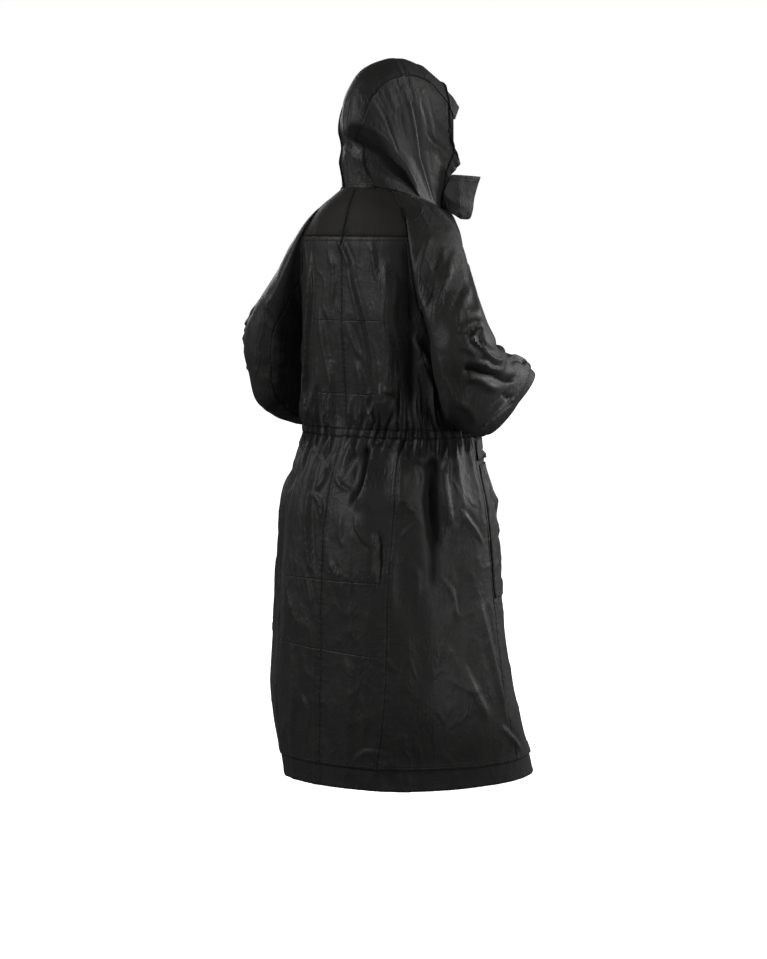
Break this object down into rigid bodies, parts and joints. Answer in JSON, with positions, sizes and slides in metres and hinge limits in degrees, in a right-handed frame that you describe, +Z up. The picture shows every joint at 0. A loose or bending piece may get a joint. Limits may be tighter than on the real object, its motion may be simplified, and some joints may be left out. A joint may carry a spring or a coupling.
{
  "type": "parka",
  "caption": "Long hooded parka in worn form, hollow and without its wearer, with raglan sleeves, a gathered waist, hip pockets and a flared skirt that covers the legs",
  "frame": {"origin": "the middle of the neck base at shoulder level, where the wearer's neck carries the parka", "axes": "+Z up along the wearer's spine, the garment faces -Y, +X is the wearer's left"},
  "size_m": [0.7488, 0.5631, 1.6228],
  "materials": {
    "shell": "matt water-repellent woven cloth",
    "yoke": "the same cloth in a slightly browner piece",
    "trim": "the same cloth folded and edge stitched",
    "tape": "dull woven zip tape"
  },
  "bodies": {
    "root": {"yoke_left": "yoke", "back_left": "shell", "front_left": "shell", "waist_casing_left": "trim", "skirt_back_left": "shell", "skirt_side_left": "shell", "skirt_front_left": "shell", "hem_band_left": "trim", "sleeve_upper_left": "shell", "sleeve_under_left": "shell", "cuff_band_left": "trim", "hood_side_left": "shell", "hood_channel_left": "trim", "throat_flap_left": "shell", "pocket_left": "shell", "pocket_flap_left": "trim", "chest_flap_left": "trim", "yoke_right": "yoke", "back_right": "shell", "front_right": "shell", "waist_casing_right": "trim", "skirt_back_right": "shell", "skirt_side_right": "shell", "skirt_front_right": "shell", "hem_band_right": "trim", "sleeve_upper_right": "shell", "sleeve_under_right": "shell", "cuff_band_right": "trim", "hood_side_right": "shell", "hood_channel_right": "trim", "throat_flap_right": "shell", "pocket_right": "shell", "pocket_flap_right": "trim", "chest_flap_right": "trim", "hood_centre": "shell", "hood_visor": "trim", "front_placket": "trim", "front_zip": "tape"}
  },
  "joints": []
}
